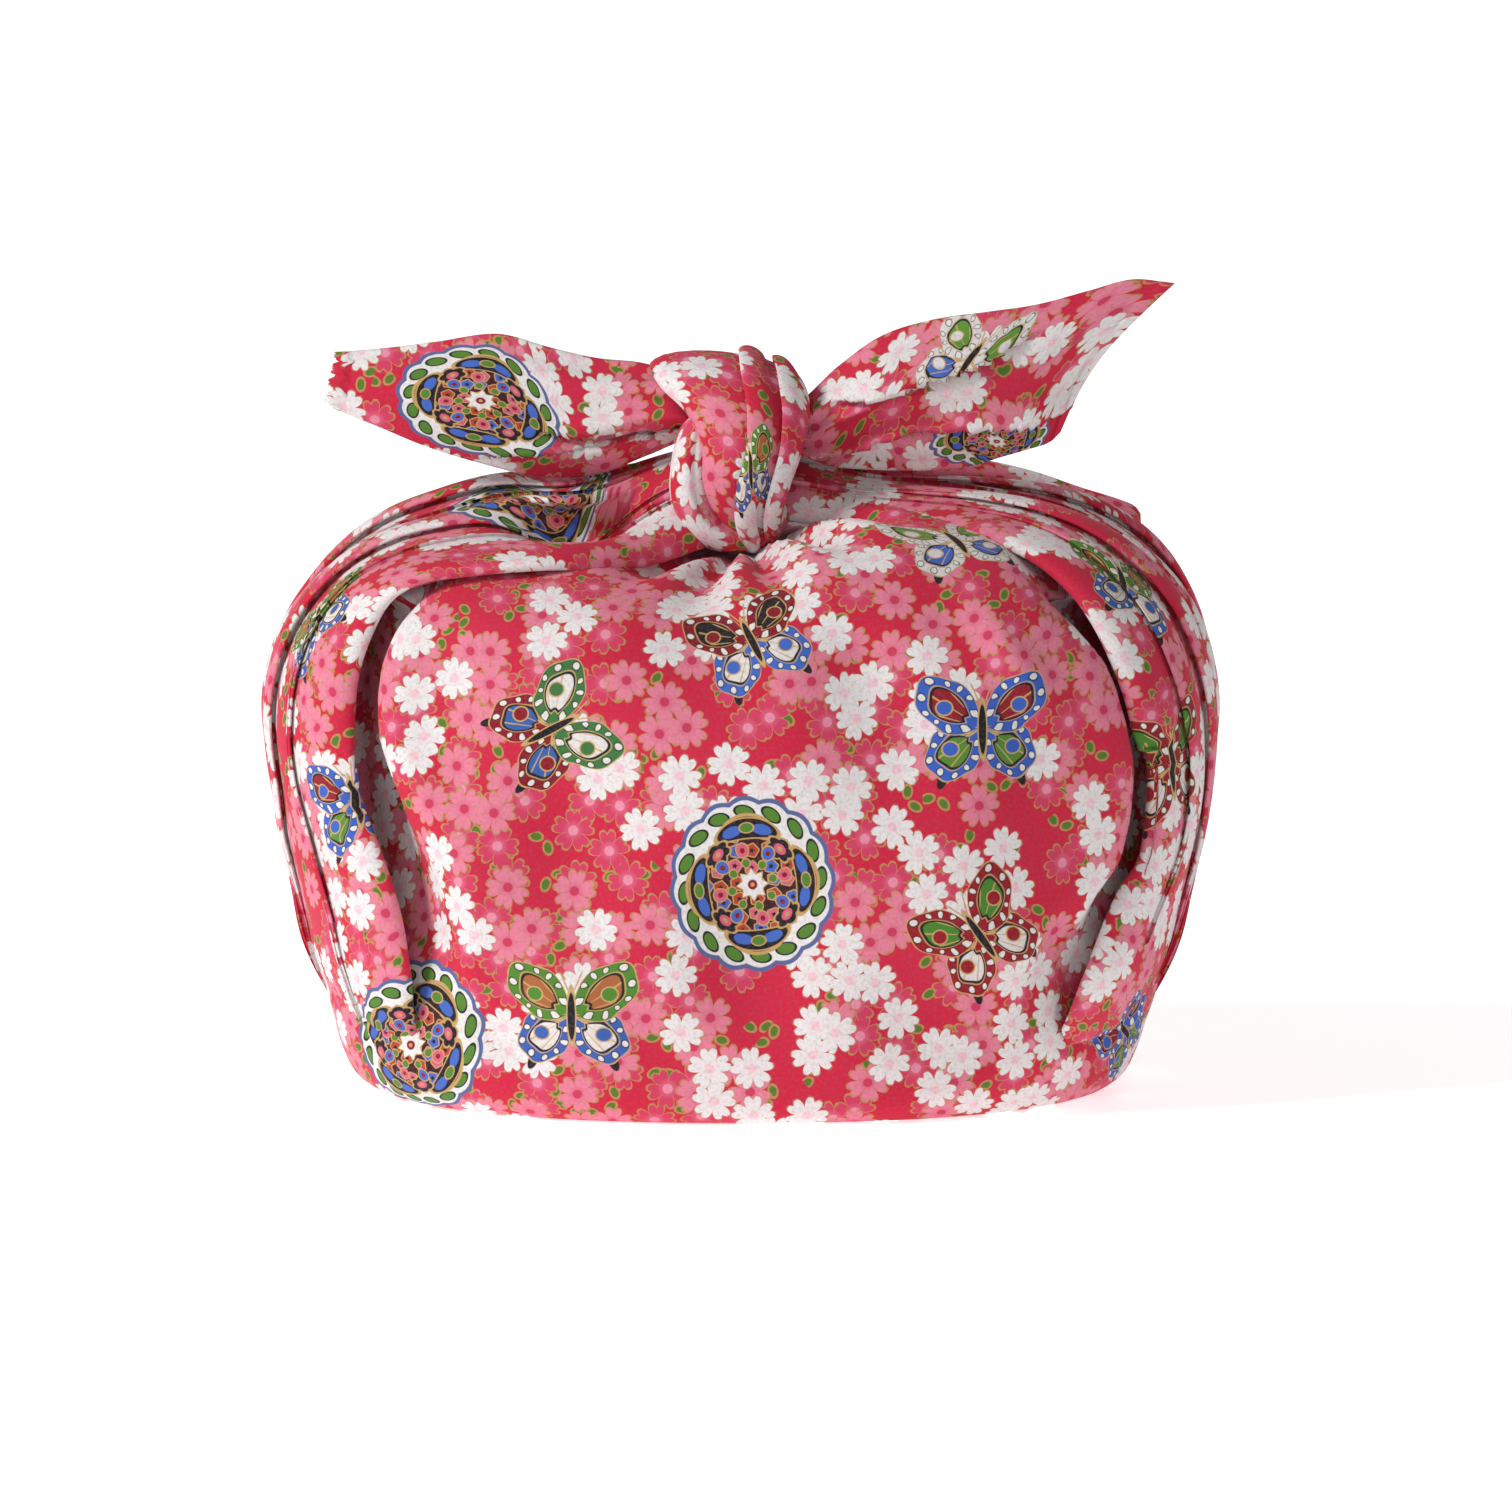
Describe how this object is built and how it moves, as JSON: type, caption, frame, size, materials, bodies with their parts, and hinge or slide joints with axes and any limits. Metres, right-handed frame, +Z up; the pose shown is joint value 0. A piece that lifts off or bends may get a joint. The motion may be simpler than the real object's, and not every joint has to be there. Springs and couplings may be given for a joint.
{
  "type": "furoshiki bag",
  "caption": "Square cotton wrapping cloth folded round a load into a soft hollow bag, its side corners gathered over the top and tied in a square knot with two free ears",
  "frame": {"origin": "on the flat underside, in the middle of the base", "axes": "+X to the right along the two straps, -Y to the smooth front panel, +Z up"},
  "size_m": [0.2212, 0.155, 0.1866],
  "materials": {
    "furoshiki_cloth": "plain-weave cotton with a printed blossom, butterfly and medallion pattern on rose red"
  },
  "bodies": {
    "root": {"furoshiki_cloth": "furoshiki_cloth"}
  },
  "joints": []
}
